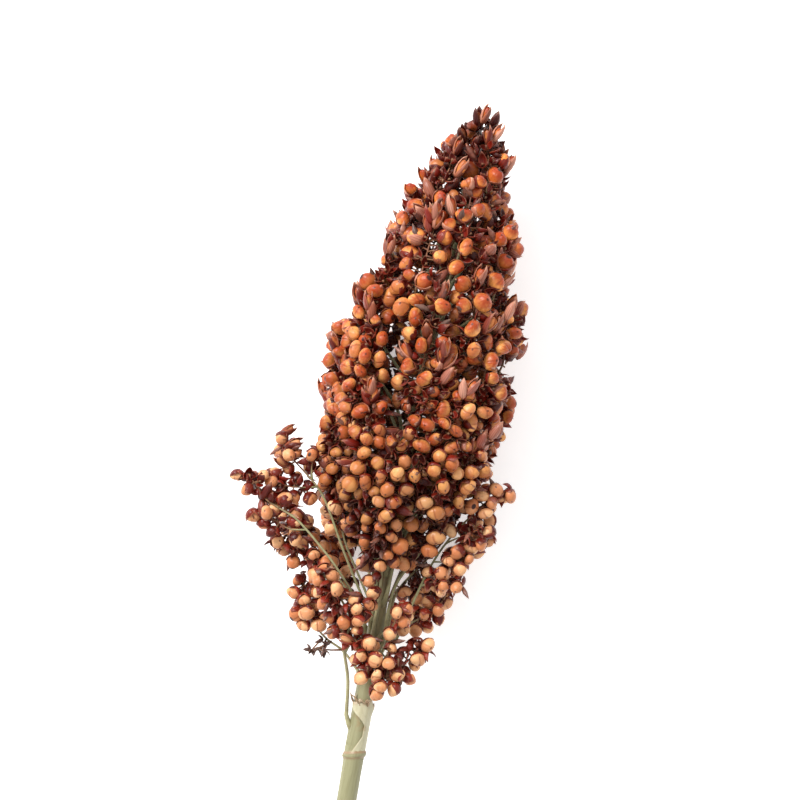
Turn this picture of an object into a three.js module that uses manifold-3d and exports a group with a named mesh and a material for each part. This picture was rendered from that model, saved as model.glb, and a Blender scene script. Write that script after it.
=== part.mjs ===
// A sorghum seed head, cut with a short stub of its stalk and lying on its side.
// Millimetres. +Y runs up the stalk from the cut to the tip of the head, +Z is up, and z = 0 is the
// surface that it lies on. One node is the stalk, and each branch of the head is a node of its own:
// a thin stem, its grains and the pointed husks between them, fused where they grow.
import * as THREE from "three";
import { mergeVertices } from "three/addons/utils/BufferGeometryUtils.js";
import Module from "manifold-3d";

const wasm = await Module();
wasm.setup();

// The stalk's axis: its height, its place across, how far it bows and where the head ends. y = 0 is 14 mm
// below the stalk's node.
const AXIS_HEIGHT = 25.5;
const AXIS_SHIFT = -1;
const AXIS_BOW = 2.2;
const HEAD_TOP = 211;
// Stations up the stalk, each [y, radius]: the cut, the swollen node at 13.7, the rachis and its end.
const STALK = [
  [-34, 2.9], [8, 2.95], [12.4, 3.05], [13.2, 3.5], [14.2, 3.5], [15, 3.1], [24, 2.95],
  [34, 2.7], [55, 2.35], [80, 2.0], [120, 1.5], [160, 1.05], [184, 0.6],
];
const STALK_SIDES = 10;
// What is left of the top leaf's sheath: a loose sleeve round the stalk, torn off at a slant.
const SHEATH = { bottom: 14.4, top: 33, radius: 3.45, mouth: 3.15, slant: 0.9, tilt: 0.35, torn: 3.4 };

// The dense part of the head: its outer radius at stations up the stalk, each [y, radius].
const OUTLINE = [
  [60, 9], [68, 13], [76, 18], [84, 22], [92, 25], [102, 27], [114, 28.5], [126, 29], [140, 28],
  [152, 26], [160, 23], [170, 21], [180, 18.2], [190, 14.6], [200, 10.6], [207, 7], [212, 3],
];
// Each dense branch ends in a cluster of grains. The clusters' middles climb in a spiral from the first one's
// height by the rise, and a little more near the tip.
const DENSE_BRANCHES = 40;
const FIRST_CLUSTER_Y = 83;
const CLUSTER_RISE = 106;
const CLUSTER_THINNING = 13;
const GOLDEN_TURN = 137.508;
const LOWEST_ROOT_Y = 46;
// A cluster's length and the bare stem below it, for clusters low in the head and for those at its tip.
const CLUSTER_LENGTH = { low: 38, tip: 16, from: 122, over: 82 };
const BARE_RISE = { low: 26, tip: 9 };
// How far a cluster's core lies below the outline, and the least and most that its tip stands out again.
const CLUSTER_DEPTH = 6;
const SPREAD = { least: 0.6, more: 2.4 };
const ROUTE_STEPS = 7;
const RACHIS_GAP = 0.75;

// Spikelets. Each grows out of one face of its stem. The dense branches' grains are larger than life, so
// that they cover the head as the many real ones do. core is the stem's radius under them, reach is from its
// middle to the grain's, and step is from one ring of spikelets to the next.
const DENSE = { grain: 3.35, core: 2.2, reach: 4.6, step: 3.4 };
const SPARSE = { grain: 2.7, core: 1.2, reach: 3.3, step: 2.7 };
// A grain of radius 1: the heights of its two rings of corners and of its tip.
const GRAIN = { low: -0.32, high: 0.42, tip: 1.03 };
const GRAIN_SIZES = [1, 0.87];
// How much a spikelet leans towards the end of its arm, how many degrees from outwards a dense branch's face
// may look, and how much chance there is in the order that the faces are filled in, in degrees too.
const LEAN = 0.18;
const FACING = 128;
const ORDER_DRAW = 25;
// A husk's waist radius, the height of its point above its waist, and how deep it sits on its face. Its share
// of the spikelets grows from low to tip over the top of the head.
const HUSK = { waist: 1.2, point: 3, sink: 0.8 };
const HUSK_SHARE = { low: 0.1, tip: 0.3, from: 150, over: 50 };
// A bare stem's radius, how much wider it is where it grows and narrower below its grains, and how many
// degrees its four faces turn from ring to ring.
const STEM_RADIUS = 0.62;
const STEM_SWELL = { foot: 1.15, top: 0.95, tip: 0.6 };
const STEM_TWIST = 13;

// Room. GAP is kept between two nodes, ROOT_GAP between a loose stem's foot and the stalk, STEM_MARGIN from a
// spikelet's corners to its node's stems, and SPACING is the share of their radii that grains of a node keep.
const GAP = 0.2;
const ROOT_GAP = 0.35;
const STEM_MARGIN = 0.25;
const SPACING = 0.86;
const BALL_STEP = 1.4;
const SLIVER = 1e-6;
// Degrees that a dense branch may turn round the rachis to find room.
const AZIMUTH_STEP = 3.5;
const AZIMUTH_TRIES = 25;

// The surface. No dense stem's core runs lower than LOWEST_CORE, and it eases onto that height. A grain that
// would go lower than the surface is lifted up to MOST_LIFT, which leaves it a small flat where it rests.
const LOWEST_CORE = 5.6;
const CORE_EASE = 1.5;
const MOST_LIFT = 1.2;
const FLAT_SHARE = 0.9;
const FINENESS = 0.02;

// The heights of the points of the cluster at the very tip.
const TIP_ROUTE = [188, 194, 200, 205];

// The loose lower sprays. Each has arms: a route of points [x, y, height] from where it grows, and the share
// of it that bears no grains. The first arm grows from the stalk, and the others from the arm before them.
const LOOSE = [
  {
    name: "left_high",
    arms: [
      {
        bare: 0.52,
        route: [
          [-5.2, 56.5, 27], [-16, 72.5, 31], [-23.8, 85.6, 33], [-28.2, 90.8, 34], [-32.5, 94.2, 34],
          [-37.6, 98.2, 34], [-40, 103, 33.5],
        ],
      },
      {
        bare: 0.1,
        route: [[-27.8, 90.4, 34], [-32.3, 89.4, 34.6], [-36.5, 88.9, 34.4], [-40.3, 90.3, 34]],
      },
      {
        bare: 0.3,
        route: [[-29.6, 92.2, 34], [-30.5, 96, 35], [-30.2, 100.6, 35.4]],
      },
    ],
  },
  {
    name: "left_long",
    arms: [
      {
        bare: 0.6,
        route: [
          [-6, 53.5, 30.8], [-15.5, 66, 36], [-22.1, 72.3, 37.5], [-31.2, 79.5, 38.5],
          [-36, 81.6, 38.5], [-42.1, 84, 38], [-46, 88, 37.5], [-49.5, 89.4, 37],
        ],
      },
      {
        bare: 0.12,
        route: [[-28.5, 77.4, 38.2], [-33.5, 76.6, 37.6], [-38.5, 78.4, 37], [-42.5, 79.5, 36.5]],
      },
    ],
  },
  {
    name: "left_low",
    arms: [
      {
        bare: 0.5,
        route: [
          [-6.4, 47, 26], [-12, 56, 30], [-18, 62.5, 31.5], [-23.8, 67.2, 32], [-29.3, 70, 32],
          [-36, 70.8, 31.5],
        ],
      },
    ],
  },
  {
    name: "left_inner",
    arms: [
      {
        bare: 0.46,
        route: [
          [-5.2, 60, 25.5], [-10.8, 67, 27], [-16.6, 76, 29], [-20, 84, 30], [-22.8, 91, 30.5],
          [-25, 96.5, 30.5],
        ],
      },
    ],
  },
  {
    name: "left_drooping",
    arms: [
      {
        bare: 0.52,
        route: [
          [-6.2, 38.5, 23], [-10.8, 43.3, 22], [-16.5, 46, 23], [-21.5, 50.3, 24], [-25.3, 55.5, 25],
          [-26.6, 61, 25.5],
        ],
      },
      {
        bare: 0.35,
        dead: true,
        route: [[-11.2, 43.5, 22.1], [-14.8, 42.8, 23.5], [-18.3, 42.6, 23.7], [-20.8, 41.2, 24]],
      },
    ],
  },
  {
    name: "front_left",
    arms: [
      {
        bare: 0.5,
        route: [
          [-6.4, 25, 27], [-7.6, 35.3, 30], [-9.9, 42.4, 33.5], [-11.9, 48.1, 36.5], [-14.4, 55, 38],
          [-17.4, 60.6, 38.5], [-21.3, 65.3, 38],
        ],
      },
      {
        bare: 0.2,
        route: [[-11, 45.8, 35.3], [-10, 52, 38], [-8, 57, 39], [-5, 61.5, 38.5]],
      },
      {
        bare: 0.2,
        route: [[-10.2, 43.2, 33.9], [-8.4, 47.6, 37], [-5.4, 46.8, 38], [-4.6, 43.8, 37.5]],
      },
    ],
  },
  {
    name: "right_high",
    arms: [
      {
        bare: 0.7,
        route: [
          [1.4, 41.5, 27.5], [4, 49, 29.5], [6.6, 60.5, 31], [9.9, 73.4, 33], [13.6, 82.3, 34],
          [18.5, 90.3, 35], [23.6, 97, 35], [26.8, 99, 34.5],
        ],
      },
      {
        bare: 0.2,
        route: [[13, 81.2, 33.9], [16.9, 84, 35.5], [20.4, 84.2, 36], [24.6, 85.2, 36]],
      },
      {
        bare: 0.25,
        route: [[10.5, 75.2, 33.2], [14.4, 76, 35.4], [18.8, 77.6, 36]],
      },
      {
        bare: 0.2,
        route: [[8.4, 67.4, 32.1], [12, 69.4, 33.6], [16, 70, 34.6], [18.8, 69, 35]],
      },
    ],
  },
  {
    name: "right_middle",
    arms: [
      {
        bare: 0.42,
        route: [[1.4, 47.5, 24], [5, 53, 22.6], [9.5, 57, 23.4], [13.4, 60, 24.8], [15.8, 64.4, 26]],
      },
    ],
  },
  {
    name: "right_inner",
    arms: [
      {
        bare: 0.4,
        route: [[-0.6, 50.5, 29.6], [2, 53, 34], [3, 57, 36.6], [2.8, 61.4, 37.2]],
      },
    ],
  },
  {
    name: "right_drooping",
    arms: [
      {
        bare: 0.3,
        route: [[1, 36.5, 29.6], [5.4, 41, 31.6], [9.6, 45.8, 32.6], [13.8, 49.8, 32.4]],
      },
    ],
  },
  {
    name: "front_drooping",
    arms: [
      {
        bare: 0.28,
        route: [[-1.4, 46, 30.2], [0.4, 45.8, 34.8], [3.2, 43.2, 37.4], [3.2, 38.8, 38], [1.2, 35.2, 37.2]],
      },
      {
        bare: 0.15,
        route: [[3, 42.6, 37.6], [6.4, 40.4, 38.4], [7.6, 37.6, 38]],
      },
      {
        bare: 0.2,
        route: [[1.2, 45.2, 36], [-1.4, 42.4, 37.2], [-2.2, 38.2, 36.8]],
      },
    ],
  },
  {
    name: "under_left",
    arms: [
      {
        bare: 0.42,
        route: [[-5.6, 46, 22], [-10, 54, 14.5], [-15, 64, 7.8], [-19, 74, 5], [-22.5, 84, 4.8]],
      },
    ],
  },
  {
    name: "under_middle",
    arms: [
      {
        bare: 0.36,
        route: [[-2.6, 41, 21], [-2.2, 47, 12.5], [-1.4, 54, 6.4], [0, 62, 4.8], [1.6, 70, 4.8]],
      },
    ],
  },
  {
    name: "under_right",
    arms: [
      {
        bare: 0.42,
        route: [[1.6, 45, 22], [6, 53, 14.5], [11.4, 63, 7.8], [15.6, 73, 5], [19, 82, 4.8]],
      },
    ],
  },
  {
    name: "back_left",
    arms: [
      {
        bare: 0.46,
        route: [[-5.8, 51, 21.5], [-12, 60, 18], [-21, 68.5, 15.5], [-30, 76, 15], [-37.5, 83, 16]],
      },
    ],
  },
  {
    name: "back_right",
    arms: [
      {
        bare: 0.46,
        route: [[0.8, 53.6, 21.2], [7, 62, 17.4], [13.8, 71.4, 15], [20, 80.6, 14.6], [25, 88.4, 15.4]],
      },
    ],
  },
];

// Colours of the dense branches, from the foot of the head to its tip, and of the stalk.
const TAN = new THREE.Color(0.8, 0.5, 0.27);
const RUST = new THREE.Color(0.62, 0.22, 0.1);
const STRAW = new THREE.Color(0.66, 0.66, 0.47);
const COLOUR_SPAN = { from: 60, over: 140 };

let seed = 21;
function random() {
  seed = (seed * 1664525 + 1013904223) % 4294967296;
  return seed / 4294967296;
}

// The value at y of a list of [y, value] stations, straight between them.
function along(stations, y) {
  if (y <= stations[0][0]) return stations[0][1];
  for (let i = 1; i < stations.length; i++) {
    const [y0, v0] = stations[i - 1];
    const [y1, v1] = stations[i];
    if (y <= y1) return v0 + ((v1 - v0) * (y - y0)) / (y1 - y0);
  }
  return stations[stations.length - 1][1];
}

function mix(a, b, share) {
  return a + (b - a) * Math.min(1, Math.max(0, share));
}

function smooth(share) {
  const s = Math.min(1, Math.max(0, share));
  return s * s * (3 - 2 * s);
}

function axisAt(y) {
  const share = Math.min(1, Math.max(0, y / HEAD_TOP));
  return new THREE.Vector3(AXIS_SHIFT - AXIS_BOW * Math.sin(Math.PI * share), y, AXIS_HEIGHT);
}

// The nearest place to a point where a stem's foot is clear of the stalk.
function besideStalk(point) {
  const axis = axisAt(point.y);
  const sheath = point.y < SHEATH.top ? SHEATH.radius : 0;
  const distance = Math.max(along(STALK, point.y), sheath) + STEM_RADIUS * STEM_SWELL.foot + ROOT_GAP;
  return point.clone().sub(axis).setLength(distance).add(axis);
}

// A height that eases onto the lowest one a cluster may have, where the surface holds it up.
function lifted(z) {
  const over = z - LOWEST_CORE;
  return LOWEST_CORE + (over + Math.sqrt(over * over + CORE_EASE)) / 2;
}

// An arm is one stem with its spikelets. At a share of it are its place, the way along it, outwards from
// the stalk and across.
function armOf(owner, kind, points, bare) {
  const curve = new THREE.CatmullRomCurve3(points, false, "catmullrom", 0.5);
  const length = curve.getLength();
  const steps = Math.max(2, Math.round((length * (1 - bare)) / kind.step));
  const shares = [0, 0.5 * bare];
  for (let i = 0; i <= steps; i++) shares.push(bare + ((1 - bare) * i) / steps);
  return { owner, kind, curve, bare, length, shares, turn: 360 * random(), spikelets: new Map() };
}

function frameAt(arm, share) {
  const step = 0.01;
  const place = arm.curve.getPoint(share);
  const before = arm.curve.getPoint(Math.max(0, share - step));
  const ahead = arm.curve.getPoint(Math.min(1, share + step)).sub(before).normalize();
  const out = place.clone().sub(axisAt(place.y));
  if (out.length() < STEM_RADIUS) out.set(0, 0, 1);
  out.addScaledVector(ahead, -out.dot(ahead)).normalize();
  const across = new THREE.Vector3().crossVectors(ahead, out);
  return { place, ahead, out, across };
}

function radiusAt(arm, share) {
  const swell = smooth((share - arm.bare + 0.02) / 0.06);
  const bare = STEM_RADIUS * mix(STEM_SWELL.foot, STEM_SWELL.top, share / arm.bare);
  const core = arm.kind.core * mix(1, STEM_SWELL.tip, (share - 0.85) / 0.15);
  return mix(bare, core, swell);
}

// Every solid is kept clear of other nodes with these balls, each with the node that owns it.
const balls = [];

function isClear(place, radius, owner) {
  return balls.every((b) => b.owner === owner || b.place.distanceTo(place) >= b.radius + radius + GAP);
}

function isSpaced(place, radius, owner) {
  const grains = balls.filter((b) => b.owner === owner && b.what === "grain");
  return grains.every((b) => b.place.distanceTo(place) >= SPACING * (b.radius + radius));
}

function stemBalls(arm) {
  const count = Math.ceil(arm.length / BALL_STEP);
  return Array.from({ length: count + 1 }, (_, i) => {
    const share = i / count;
    return { place: arm.curve.getPoint(share), radius: radiusAt(arm, share), owner: arm.owner, what: "stem" };
  });
}

function claimStalk() {
  for (let y = STALK[0][0]; y <= STALK[STALK.length - 1][0]; y += 1) {
    const sheath = y > SHEATH.bottom && y < SHEATH.top ? SHEATH.radius : 0;
    balls.push({ place: axisAt(y), radius: Math.max(along(STALK, y), sheath), owner: "stalk", what: "stem" });
  }
}

// The route of a dense branch: out from the rachis, then up under the head's outline.
function denseRoute(clusterY, azimuth, spread) {
  const { low, tip, from, over } = CLUSTER_LENGTH;
  const length = mix(low, tip, (clusterY - from) / over);
  const top = Math.min(clusterY + length / 2, HEAD_TOP - 4);
  const start = clusterY - length / 2;
  const climbShare = (clusterY - FIRST_CLUSTER_Y) / (HEAD_TOP - FIRST_CLUSTER_Y);
  const bareRise = mix(BARE_RISE.low, BARE_RISE.tip, climbShare);
  const root = Math.max(LOWEST_ROOT_Y + clusterY * 0.02, start - bareRise);
  const turn = THREE.MathUtils.degToRad(azimuth);
  const points = [];
  for (let i = 0; i <= ROUTE_STEPS; i++) {
    const share = i / ROUTE_STEPS;
    const y = root + (top - root) * share;
    const rachis = along(STALK, y) + STEM_RADIUS + RACHIS_GAP;
    const outer = Math.max(rachis, along(OUTLINE, y) - CLUSTER_DEPTH + spread * share * share);
    const climb = smooth((y - root) / (start + 0.3 * length - root));
    const radius = rachis + (outer - rachis) * climb;
    const axis = axisAt(y);
    const z = axis.z + radius * Math.sin(turn);
    points.push(new THREE.Vector3(axis.x + radius * Math.cos(turn), y, Math.min(lifted(z), axis.z + radius)));
  }
  return { points, bare: (start - root) / (top - root) };
}

function denseArm(i) {
  const u = (i + 0.5) / DENSE_BRANCHES;
  const clusterY = FIRST_CLUSTER_Y + CLUSTER_RISE * u + CLUSTER_THINNING * u ** 4;
  const spread = SPREAD.least + SPREAD.more * random();
  const owner = "dense_branch_" + String(i + 1).padStart(2, "0");
  let best = null;
  for (let attempt = 0; attempt < AZIMUTH_TRIES; attempt++) {
    const shift = Math.ceil(attempt / 2) * (attempt % 2 ? AZIMUTH_STEP : -AZIMUTH_STEP);
    const { points, bare } = denseRoute(clusterY, i * GOLDEN_TURN + shift, spread);
    const arm = armOf(owner, DENSE, points, bare);
    const blocked = stemBalls(arm).filter((b) => !isClear(b.place, b.radius, owner)).length;
    if (!best || blocked < best.blocked) best = { arm, blocked };
    if (!blocked) break;
  }
  return best.arm;
}

// The four corners of a stem at its kth share.
function stemRing(arm, k) {
  const { place, out, across } = frameAt(arm, arm.shares[k]);
  const radius = radiusAt(arm, arm.shares[k]);
  return [0.5, 1.5, 2.5, 3.5].map((quarter) => {
    const turn = THREE.MathUtils.degToRad(arm.turn + k * STEM_TWIST + quarter * 90);
    const side = out.clone().multiplyScalar(Math.cos(turn)).addScaledVector(across, Math.sin(turn));
    return place.clone().addScaledVector(side, radius);
  });
}

// The corners of a spikelet that grows out of a face. neck holds the face's four corners, anticlockwise from
// outside, and the rings turn with it.
function shapeOf(neck, { husk, radius, centre, heading }) {
  const one = neck[0].clone().sub(centre);
  one.addScaledVector(heading, -one.dot(heading)).normalize();
  const two = new THREE.Vector3().crossVectors(heading, one);
  const ringAt = (height, wide, turn) =>
    neck.map((_, j) => {
      const angle = ((j + turn) * Math.PI) / 2;
      const point = centre.clone().addScaledVector(heading, height);
      return point.addScaledVector(one, wide * Math.cos(angle)).addScaledVector(two, wide * Math.sin(angle));
    });
  const grainRing = (height, turn) => ringAt(height * radius, radius * Math.sqrt(1 - height * height), turn);
  const rings = husk ? [ringAt(0, radius, 0)] : [grainRing(GRAIN.low, 0), grainRing(GRAIN.high, -0.5)];
  const tipHeight = husk ? HUSK.point : GRAIN.tip * radius;
  return { rings, tip: centre.clone().addScaledVector(heading, tipHeight) };
}

// Whether a spikelet's corners are off the stems of its own node, so that it doesn't sink into one.
function isOffStem({ rings, tip }, owner) {
  const stems = balls.filter((b) => b.owner === owner && b.what === "stem");
  const corners = [...rings.flat(), tip];
  return corners.every((p) => stems.every((b) => b.place.distanceTo(p) > b.radius + STEM_MARGIN));
}

// The faces of an arm's stem where a spikelet can grow, from those that look out of the head to those that
// look into it, and last the end of the stem.
function facesOf(arm) {
  const faces = [];
  const last = arm.shares.length - 1;
  for (let k = 2; k < last; k++) {
    const { place, ahead, out, across } = frameAt(arm, (arm.shares[k] + arm.shares[k + 1]) / 2);
    const [near, far] = [stemRing(arm, k), stemRing(arm, k + 1)];
    for (let i = 0; i < 4; i++) {
      const degrees = arm.turn + (k + 0.5) * STEM_TWIST + (i + 1) * 90;
      const turn = THREE.MathUtils.euclideanModulo(degrees + 180, 360) - 180;
      const angle = THREE.MathUtils.degToRad(turn);
      const side = out.clone().multiplyScalar(Math.cos(angle)).addScaledVector(across, Math.sin(angle));
      const next = (i + 1) % 4;
      const neck = [near[i], near[next], far[next], far[i]];
      const draw = random();
      const order = Math.abs(turn) + ORDER_DRAW * draw;
      const face = k + "," + i;
      if (arm.kind === DENSE && Math.abs(turn) >= FACING) continue;
      faces.push({ face, place, ahead, side, neck, draw, order });
    }
  }
  const end = { face: last + ",0", side: null, neck: stemRing(arm, last), draw: 1, order: 0 };
  faces.push({ ...frameAt(arm, 1), ...end });
  return faces.sort((a, b) => a.order - b.order);
}

// On each face the largest grain that finds room, or a husk.
function placeSpikelets(arm) {
  const { kind, owner } = arm;
  const placed = [armSolid(arm)];
  for (const { face, place, ahead, side, neck, draw } of facesOf(arm)) {
    const huskShare = mix(HUSK_SHARE.low, HUSK_SHARE.tip, (place.y - HUSK_SHARE.from) / HUSK_SHARE.over);
    const husk = arm.dead || draw < huskShare;
    const heading = side ? side.clone().addScaledVector(ahead, LEAN * (1 + draw)).normalize() : ahead;
    for (const size of husk ? [1] : GRAIN_SIZES) {
      const radius = husk ? HUSK.waist : size * kind.grain;
      const reach = side ? kind.reach - (1 - size) * kind.grain : 0.6 * kind.grain;
      const centre = place.clone().addScaledVector(heading, husk && side ? reach - HUSK.sink : reach);
      const lift = Math.max(0, radius * FLAT_SHARE - centre.z);
      centre.z += lift;
      const spots = [{ place: centre, radius, what: "grain" }];
      const point = centre.clone().addScaledVector(heading, HUSK.point * 0.6);
      if (husk) spots.push({ place: point, radius: HUSK.waist / 2, what: "grain" });
      else spots.push({ place: place.clone().lerp(centre, 0.5), radius: 0.78 * radius, what: "neck" });
      const shape = shapeOf(neck, { husk, radius, centre, heading });
      const fits = lift < MOST_LIFT && spots.every((s) => isClear(s.place, s.radius, owner));
      if (!fits || !isSpaced(centre, radius, owner) || !isOffStem(shape, owner)) continue;
      const solid = spikeletSolid(neck, shape);
      if (placed.some((other) => solid.intersect(other).volume() > SLIVER)) continue;
      placed.push(solid);
      spots.forEach((s) => balls.push({ ...s, owner }));
      arm.spikelets.set(face, shape);
      break;
    }
  }
}

// A closed geometry as a solid, with the triangles that its poles collapse left out.
function solidOf(geometry) {
  geometry.deleteAttribute("normal");
  geometry.deleteAttribute("uv");
  const merged = mergeVertices(geometry, 1e-4);
  const index = merged.index.array;
  const kept = [];
  for (let i = 0; i < index.length; i += 3) {
    const [a, b, c] = index.subarray(i, i + 3);
    if (a !== b && b !== c && a !== c) kept.push(a, b, c);
  }
  return new wasm.Manifold(
    new wasm.Mesh({
      numProp: 3,
      vertProperties: merged.getAttribute("position").array,
      triVerts: new Uint32Array(kept),
    }),
  );
}

// A lathe of [height, radius] stations, closed at both ends.
function latheOf(stations, sides) {
  const ends = [stations[0][0], stations[stations.length - 1][0]];
  const profile = [[ends[0], 0], ...stations, [ends[1], 0]];
  return new THREE.LatheGeometry(profile.map(([height, radius]) => new THREE.Vector2(radius, height)), sides);
}

// A lathe whose height is laid along a route, as a rod of changing radius.
function rodAlong(stations, sides, frameOf) {
  const geometry = latheOf(stations, sides);
  const position = geometry.getAttribute("position");
  const point = new THREE.Vector3();
  for (let i = 0; i < position.count; i++) {
    const { place, out, across } = frameOf(position.getY(i));
    point.copy(place);
    point.addScaledVector(out, position.getX(i)).addScaledVector(across, -position.getZ(i));
    position.setXYZ(i, point.x, point.y, point.z);
  }
  return solidOf(geometry);
}

// Faces and points of one arm's solid, which its stem and its spikelets are written into.
class Shell {
  points = [];
  faces = [];

  add(point) {
    return this.points.push(point.x, point.y, point.z) / 3 - 1;
  }

  quad(a, b, c, d) {
    this.faces.push(a, b, c, a, c, d);
  }

  // The sides from one ring of four corners to the next.
  sleeve(near, far) {
    for (let i = 0; i < 4; i++) this.quad(near[i], near[(i + 1) % 4], far[(i + 1) % 4], far[i]);
  }

  // A spikelet on a face whose corners, anticlockwise from outside, are neck.
  spikelet(neck, { rings, tip }) {
    let near = neck;
    for (const ring of rings) {
      const far = ring.map((point) => this.add(point));
      this.sleeve(near, far);
      near = far;
    }
    const end = this.add(tip);
    for (let i = 0; i < 4; i++) this.faces.push(near[i], near[(i + 1) % 4], end);
  }

  solid() {
    return new wasm.Manifold(
      new wasm.Mesh({
        numProp: 3,
        vertProperties: new Float32Array(this.points),
        triVerts: new Uint32Array(this.faces),
      }),
    );
  }
}

// A spikelet by itself, closed by the face that it grows out of.
function spikeletSolid(neck, shape) {
  const shell = new Shell();
  const base = neck.map((point) => shell.add(point));
  shell.quad(base[0], base[3], base[2], base[1]);
  shell.spikelet(base, shape);
  return shell.solid();
}

// An arm as one solid: a stem of four sides, with a spikelet in the place of some of its faces.
function armSolid(arm) {
  const shell = new Shell();
  const last = arm.shares.length - 1;
  const rings = arm.shares.map((_, k) => stemRing(arm, k).map((point) => shell.add(point)));
  shell.quad(rings[0][0], rings[0][3], rings[0][2], rings[0][1]);
  const necks = [[last + ",0", rings[last]]];
  for (let k = 0; k < last; k++) {
    for (let i = 0; i < 4; i++) {
      const next = (i + 1) % 4;
      necks.push([k + "," + i, [rings[k][i], rings[k][next], rings[k + 1][next], rings[k + 1][i]]]);
    }
  }
  for (const [face, neck] of necks) {
    const shape = arm.spikelets.get(face);
    if (shape) shell.spikelet(neck, shape);
    else shell.quad(...neck);
  }
  return shell.solid();
}

function largest(solid) {
  return solid.decompose().reduce((a, b) => (a.volume() > b.volume() ? a : b));
}

function branchSolid(arms) {
  return largest(wasm.Manifold.union(arms.map(armSolid)).trimByPlane([0, 0, 1], 0).simplify(FINENESS));
}

function stalkFrame(y) {
  const place = axisAt(y);
  const ahead = axisAt(y + 1).sub(axisAt(y - 1)).normalize();
  const out = new THREE.Vector3(0, 0, 1);
  return { place, out, across: new THREE.Vector3().crossVectors(ahead, out) };
}

function stalkSolid() {
  const rod = rodAlong(STALK, STALK_SIDES, stalkFrame);
  const { bottom, top, radius, mouth, slant, tilt, torn } = SHEATH;
  const stations = [[bottom, radius], [(bottom + top) / 2, radius], [top, mouth]];
  const sleeve = rodAlong(stations, STALK_SIDES, stalkFrame);
  const slope = new THREE.Vector3(slant, -1, -tilt).normalize();
  const tear = new THREE.Vector3(axisAt(top).x, top - torn, AXIS_HEIGHT);
  return largest(rod.add(sleeve.trimByPlane(slope.toArray(), slope.dot(tear))));
}

function meshOf(name, solid, colour, roughness) {
  const { vertProperties, triVerts } = solid.getMesh();
  const geometry = new THREE.BufferGeometry();
  geometry.setAttribute("position", new THREE.BufferAttribute(vertProperties, 3));
  geometry.setIndex(new THREE.BufferAttribute(triVerts, 1));
  const look = { color: colour, roughness, metalness: 0, flatShading: true };
  const mesh = new THREE.Mesh(geometry, new THREE.MeshStandardMaterial(look));
  mesh.name = name;
  return mesh;
}

// Stems first, so that every spikelet is placed clear of all of them.
claimStalk();
const arms = [];
for (const { name, arms: routes } of LOOSE) {
  for (const { bare, route, dead } of routes) {
    const points = route.map(([x, y, z]) => new THREE.Vector3(x, y, z));
    if (route === routes[0].route) points[0] = besideStalk(points[0]);
    arms.push({ ...armOf("loose_" + name, SPARSE, points, bare), dead });
  }
}
arms.push(armOf("tip_cluster", DENSE, TIP_ROUTE.map(axisAt), 0.02));
for (const arm of arms) balls.push(...stemBalls(arm));
for (let i = 0; i < DENSE_BRANCHES; i++) {
  const arm = denseArm(i);
  balls.push(...stemBalls(arm));
  arms.push(arm);
}
arms.forEach(placeSpikelets);

const head = new THREE.Group();
head.add(meshOf("stalk", stalkSolid(), STRAW, 0.6));
for (const owner of new Set(arms.map((arm) => arm.owner))) {
  const own = arms.filter((arm) => arm.owner === owner);
  const share = (own[0].curve.getPoint(1).y - COLOUR_SPAN.from) / COLOUR_SPAN.over;
  const colour = TAN.clone().lerp(RUST, smooth(share));
  head.add(meshOf(owner, branchSolid(own), colour, 0.5));
}

// The origin is on the surface, under the middle of the whole.
const box = new THREE.Box3().setFromObject(head);
head.position.set(-(box.min.x + box.max.x) / 2, -(box.min.y + box.max.y) / 2, -box.min.z);

export default head;
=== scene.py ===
"""Looks of the sorghum seed head: grains, husks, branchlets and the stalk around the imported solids.

The branches' routes follow the same rule as the solids, with the same draws, so that every finer piece lies
where its solid is. Lengths are in millimetres until a mesh is made, which is in metres.
"""

import math
from dataclasses import dataclass
from functools import lru_cache

import bpy
import numpy as np
from mathutils import Matrix, Vector


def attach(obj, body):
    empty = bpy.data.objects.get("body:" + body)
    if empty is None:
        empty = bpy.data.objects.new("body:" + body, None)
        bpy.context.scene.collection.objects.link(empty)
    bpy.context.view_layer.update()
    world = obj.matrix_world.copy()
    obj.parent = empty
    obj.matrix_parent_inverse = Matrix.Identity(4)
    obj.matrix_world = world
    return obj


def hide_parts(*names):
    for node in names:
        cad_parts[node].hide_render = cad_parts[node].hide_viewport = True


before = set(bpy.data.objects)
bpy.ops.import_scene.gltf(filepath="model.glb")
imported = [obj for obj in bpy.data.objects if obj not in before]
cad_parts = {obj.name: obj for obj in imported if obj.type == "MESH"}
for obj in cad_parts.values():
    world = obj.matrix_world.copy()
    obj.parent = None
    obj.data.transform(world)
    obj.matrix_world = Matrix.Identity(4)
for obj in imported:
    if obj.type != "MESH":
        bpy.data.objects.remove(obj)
scene = bpy.context.scene
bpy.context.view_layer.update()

MM = 0.001

# The stalk's axis and the dense head, as in the solids.
AXIS_HEIGHT = 25.5
AXIS_SHIFT = -1.0
AXIS_BOW = 2.2
HEAD_TOP = 211.0
CUT_Y = -34.0
STALK = [
    [-34, 2.9], [8, 2.95], [12.4, 3.05], [13.2, 3.5], [14.2, 3.5], [15, 3.1], [24, 2.95],
    [34, 2.7], [55, 2.35], [80, 2.0], [120, 1.5], [160, 1.05], [184, 0.6],
]
SHEATH = {"bottom": 14.4, "top": 33.0, "radius": 3.45}
OUTLINE = [
    [60, 9], [68, 13], [76, 18], [84, 22], [92, 25], [102, 27], [114, 28.5], [126, 29], [140, 28],
    [152, 26], [160, 23], [170, 21], [180, 18.2], [190, 14.6], [200, 10.6], [207, 7], [212, 3],
]
DENSE_BRANCHES = 40
FIRST_CLUSTER_Y = 83.0
CLUSTER_RISE = 106.0
CLUSTER_THINNING = 13.0
GOLDEN_TURN = 137.508
LOWEST_ROOT_Y = 46.0
CLUSTER_LENGTH = (38, 16, 122, 82)
BARE_RISE = {"low": 26, "tip": 9}
CLUSTER_DEPTH = 6
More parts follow.
